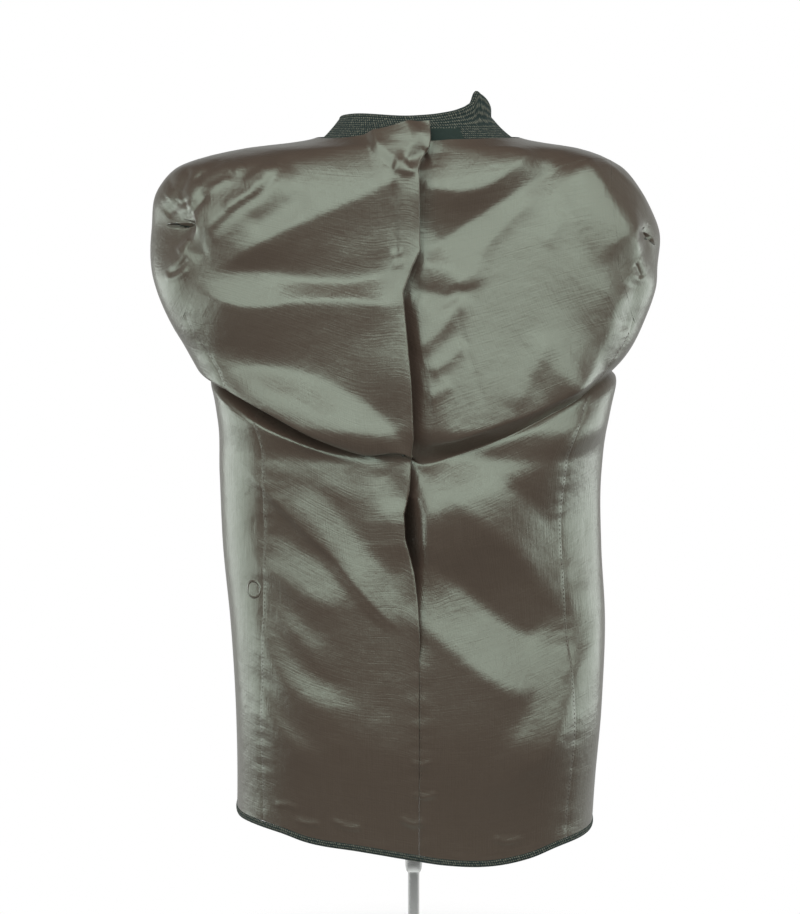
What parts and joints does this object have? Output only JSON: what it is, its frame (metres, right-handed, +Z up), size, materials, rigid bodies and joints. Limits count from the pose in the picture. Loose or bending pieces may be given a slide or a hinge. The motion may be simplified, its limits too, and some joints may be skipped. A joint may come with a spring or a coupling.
{
  "type": "inside-out sport coat on a limbless dress form",
  "caption": "Single-breasted sport coat turned inside out, satin lining outwards with a deep centre-back pleat, resting on a limbless dress form with a rod and round counter base.",
  "frame": {"origin": "middle of the stand base's underside", "axes": "+Z up along the stand's rod, -Y the way the back of the coat faces, +X to the right as seen from behind the back"},
  "size_m": [0.5557, 0.29, 1.0875],
  "materials": {
    "lining_satin": "two-tone satin lining, brown in shade and grey-green where it catches light",
    "tweed": "dark green-black tweed with beige flecks",
    "label_cloth": "plain dark green woven patch",
    "form_white": "smooth white form",
    "chrome": "polished"
  },
  "bodies": {
    "root": {"back_left": "lining_satin", "back_right": "lining_satin", "side_left": "lining_satin", "side_right": "lining_satin", "front_left": "lining_satin", "front_right": "lining_satin", "sleeve_left": "lining_satin", "sleeve_right": "lining_satin", "facing_left": "tweed", "facing_right": "tweed", "neck_facing": "tweed", "collar": "tweed", "hem_back_left": "tweed", "hem_back_right": "tweed", "hem_side_left": "tweed", "hem_side_right": "tweed", "hem_front_left": "tweed", "hem_front_right": "tweed", "neck_label": "label_cloth", "form_torso": "form_white", "stand_coupling": "chrome", "stand_rod": "chrome", "stand_base": "chrome"}
  },
  "joints": []
}
